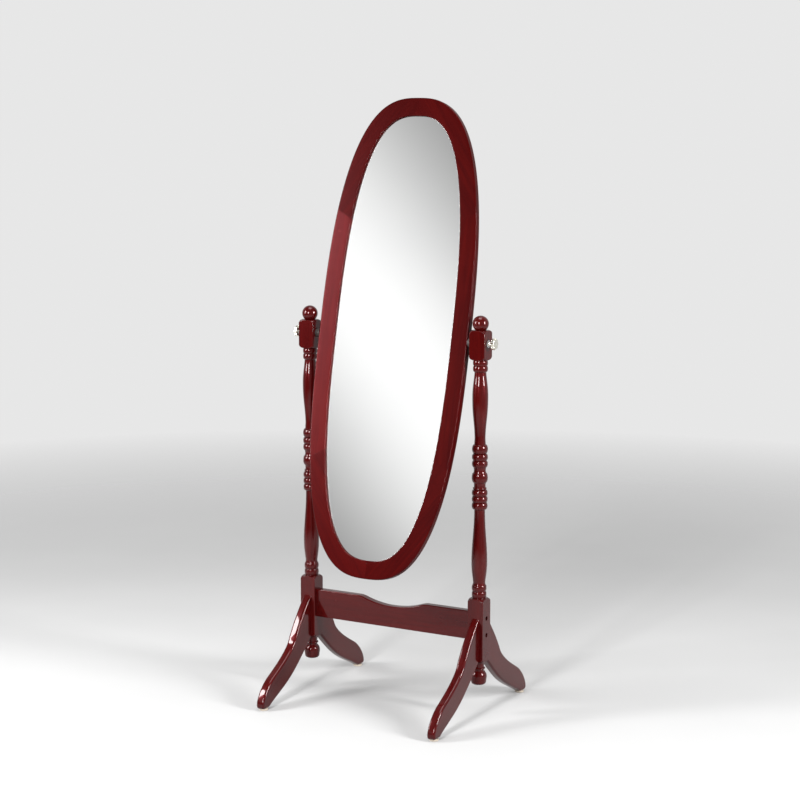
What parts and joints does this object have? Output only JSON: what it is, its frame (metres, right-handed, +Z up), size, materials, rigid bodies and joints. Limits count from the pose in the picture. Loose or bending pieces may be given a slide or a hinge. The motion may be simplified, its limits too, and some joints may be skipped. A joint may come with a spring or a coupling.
{
  "type": "cheval floor mirror",
  "caption": "Free-standing oval floor mirror that tilts between two turned wooden posts on splayed legs, clamped by a knob on each side.",
  "frame": {"origin": "on the floor, midway between the two posts and between the front and rear toes", "axes": "+Z up, +X towards the object's right-hand post as seen from the front, +Y to the rear; the mirror faces -Y"},
  "size_m": [0.5618, 0.486, 1.4953],
  "materials": {
    "cherry_turned": "dark cherry stain under gloss lacquer, turned",
    "cherry_board": "dark cherry stain under gloss lacquer, sawn board",
    "cherry_frame": "dark cherry stain under gloss lacquer, shaped ring",
    "bare_beech": "bare",
    "glide_plastic": "moulded",
    "zinc_steel": "bright zinc plated",
    "silvered_glass": "silvered float glass",
    "foam_pad": "closed-cell foam sheet",
    "hardboard": "smooth brown hardboard",
    "insert_brass": "plain",
    "spacer_plastic": "dark nylon",
    "knob_metal": "pale polished brass plate"
  },
  "bodies": {
    "stand": {"post_left": "cherry_turned", "post_right": "cherry_turned", "stretcher": "cherry_board", "front_leg_left": "cherry_board", "front_leg_right": "cherry_board", "rear_leg_left": "cherry_board", "rear_leg_right": "cherry_board", "leg_dowels": "bare_beech", "foot_glides": "glide_plastic", "stretcher_bolts": "zinc_steel", "stretcher_barrel_nuts": "zinc_steel"},
    "mirror": {"frame_side_left": "cherry_frame", "frame_side_right": "cherry_frame", "frame_top_left": "cherry_frame", "frame_top_right": "cherry_frame", "frame_bottom_left": "cherry_frame", "frame_bottom_right": "cherry_frame", "frame_splines": "bare_beech", "mirror_glass": "silvered_glass", "backing_pad": "foam_pad", "back_panel": "hardboard", "back_panel_screws": "zinc_steel", "pivot_insert_left": "insert_brass", "pivot_insert_right": "insert_brass", "pivot_spacer_left": "spacer_plastic", "pivot_spacer_right": "spacer_plastic"},
    "washer_left": {"knob_washer_left": "zinc_steel"},
    "washer_right": {"knob_washer_right": "zinc_steel"},
    "knob_left": {"tilt_knob_left": "knob_metal", "knob_stud_left": "zinc_steel"},
    "knob_right": {"tilt_knob_right": "knob_metal", "knob_stud_right": "zinc_steel"}
  },
  "joints": [
    {"name": "mirror_tilt", "type": "hinge", "parent": "stand", "child": "mirror", "pos_m": [0, 0, 0.9165], "axis": [-1, 0, 0], "continuous": true},
    {"name": "knob_left_draw", "type": "slide", "parent": "mirror", "child": "washer_left", "axis": [-1, 0, 0], "range_m": [0, 0.003]},
    {"name": "knob_left_turn", "type": "hinge", "parent": "washer_left", "child": "knob_left", "pos_m": [-0.27, 0, 0.9165], "axis": [-1, 0, 0], "range_deg": [0, 1080]},
    {"name": "knob_right_draw", "type": "slide", "parent": "mirror", "child": "washer_right", "axis": [1, 0, 0], "range_m": [0, 0.003]},
    {"name": "knob_right_turn", "type": "hinge", "parent": "washer_right", "child": "knob_right", "pos_m": [0.27, 0, 0.9165], "axis": [1, 0, 0], "range_deg": [0, 1080]}
  ],
  "couplings": [
    {"joint": "knob_left_turn", "follows": "knob_left_draw", "rad_per_m": 6283.2},
    {"joint": "knob_right_turn", "follows": "knob_right_draw", "rad_per_m": 6283.2}
  ]
}
